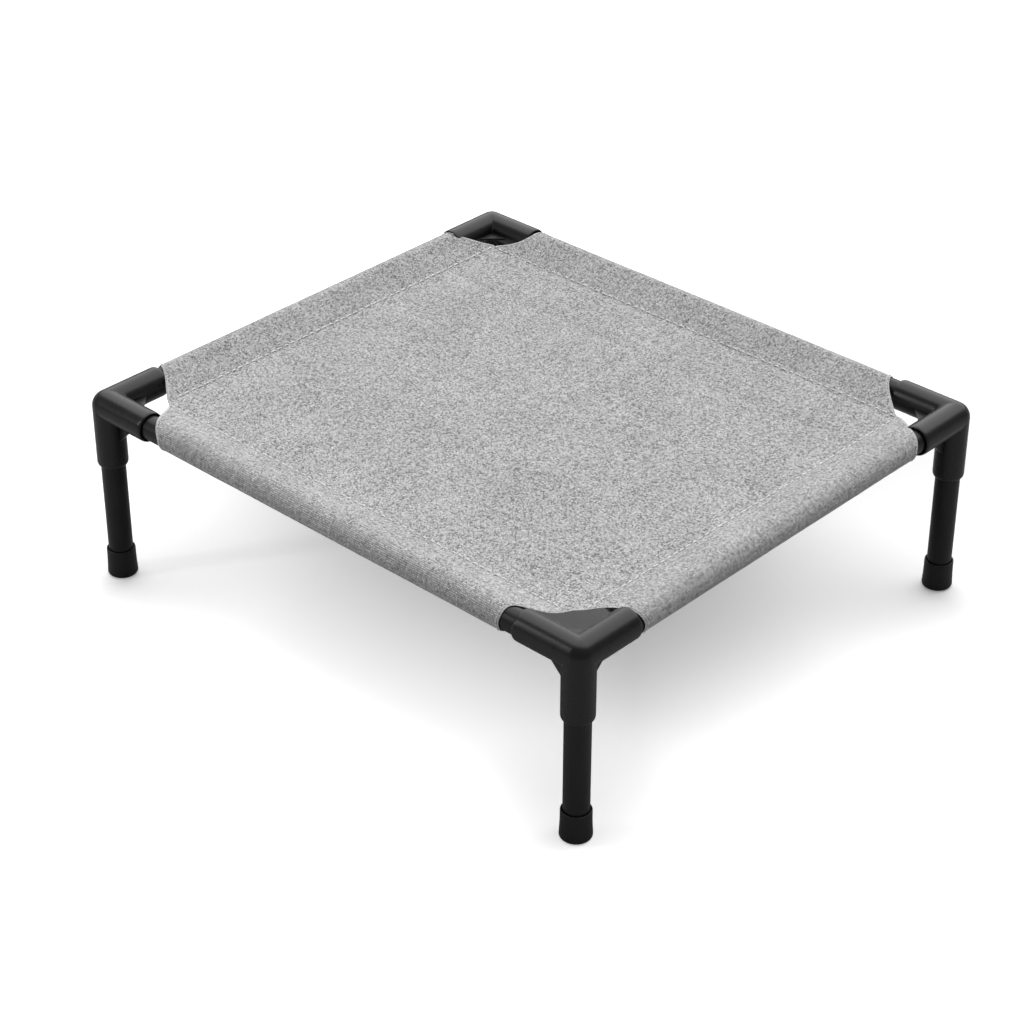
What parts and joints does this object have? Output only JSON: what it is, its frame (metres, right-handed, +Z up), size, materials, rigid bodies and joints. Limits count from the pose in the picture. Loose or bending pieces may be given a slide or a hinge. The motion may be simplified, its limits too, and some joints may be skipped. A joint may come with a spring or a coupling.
{
  "type": "elevated pet bed",
  "caption": "Elevated pet bed: a sewn cloth sling stretched between round tube rails, with three-way corner connectors, tube legs and foot caps.",
  "frame": {"origin": "on the floor, under the middle of the bed", "axes": "+X to the right along the longer side, -Y towards the front, +Z up"},
  "size_m": [0.6574, 0.5854, 0.2137],
  "materials": {
    "sling_cloth": "plain weave, heather grey",
    "tube_steel": "black powder coat",
    "connector_plastic": "moulded, satin",
    "cap_rubber": "matte"
  },
  "bodies": {
    "root": {"fabric_sling": "sling_cloth", "front_rail": "tube_steel", "rear_rail": "tube_steel", "left_rail": "tube_steel", "right_rail": "tube_steel", "front_left_connector": "connector_plastic", "front_right_connector": "connector_plastic", "rear_left_connector": "connector_plastic", "rear_right_connector": "connector_plastic", "front_left_leg": "tube_steel", "front_right_leg": "tube_steel", "rear_left_leg": "tube_steel", "rear_right_leg": "tube_steel", "front_left_foot_cap": "cap_rubber", "front_right_foot_cap": "cap_rubber", "rear_left_foot_cap": "cap_rubber", "rear_right_foot_cap": "cap_rubber"}
  },
  "joints": []
}
